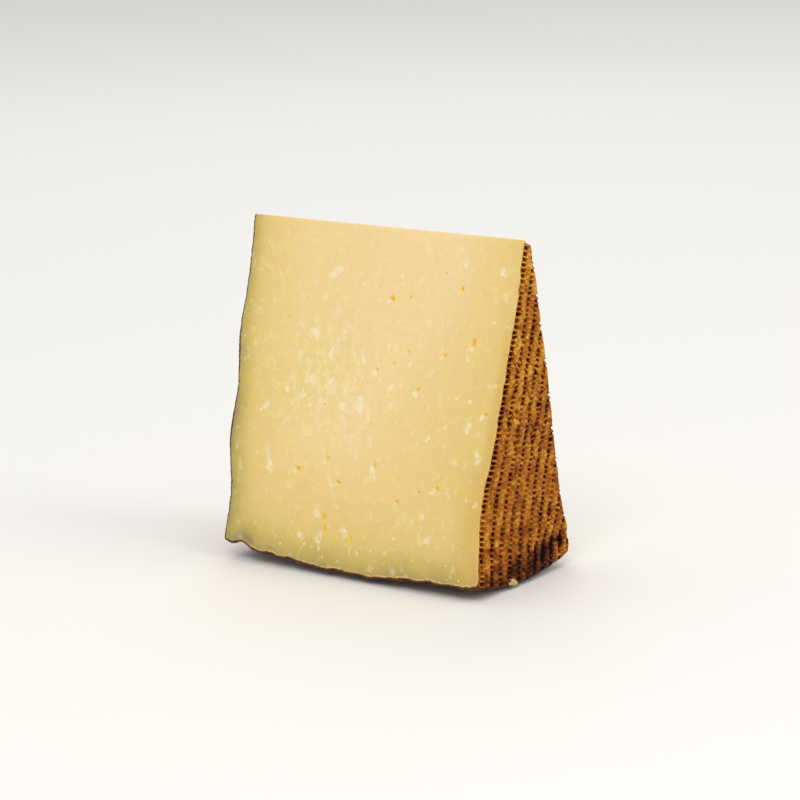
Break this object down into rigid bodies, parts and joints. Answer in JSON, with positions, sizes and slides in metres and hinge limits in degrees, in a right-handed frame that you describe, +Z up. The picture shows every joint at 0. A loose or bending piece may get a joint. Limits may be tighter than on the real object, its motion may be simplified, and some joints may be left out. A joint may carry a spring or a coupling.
{
  "type": "manchego cheese wedge",
  "caption": "Wedge of aged sheep's-milk cheese standing on its rim, with two knife cuts and a brown rind that bears the print of its woven mould.",
  "frame": {"origin": "under the middle of the wedge's box, on the surface that it stands on", "axes": "+Z up towards the thin end of the wedge, +X along the axis of the wheel that it was cut from, -Y out of the knife cut that the picture shows"},
  "size_m": [0.0968, 0.0482, 0.0995],
  "materials": {
    "cheese": "Cut paste: pale straw yellow, smooth and slightly oily, darker towards the rind. Rind: golden to dark brown, dry and matt, printed with ribs and rows of small pits."
  },
  "bodies": {
    "root": {"cheese_wedge": "cheese"}
  },
  "joints": []
}
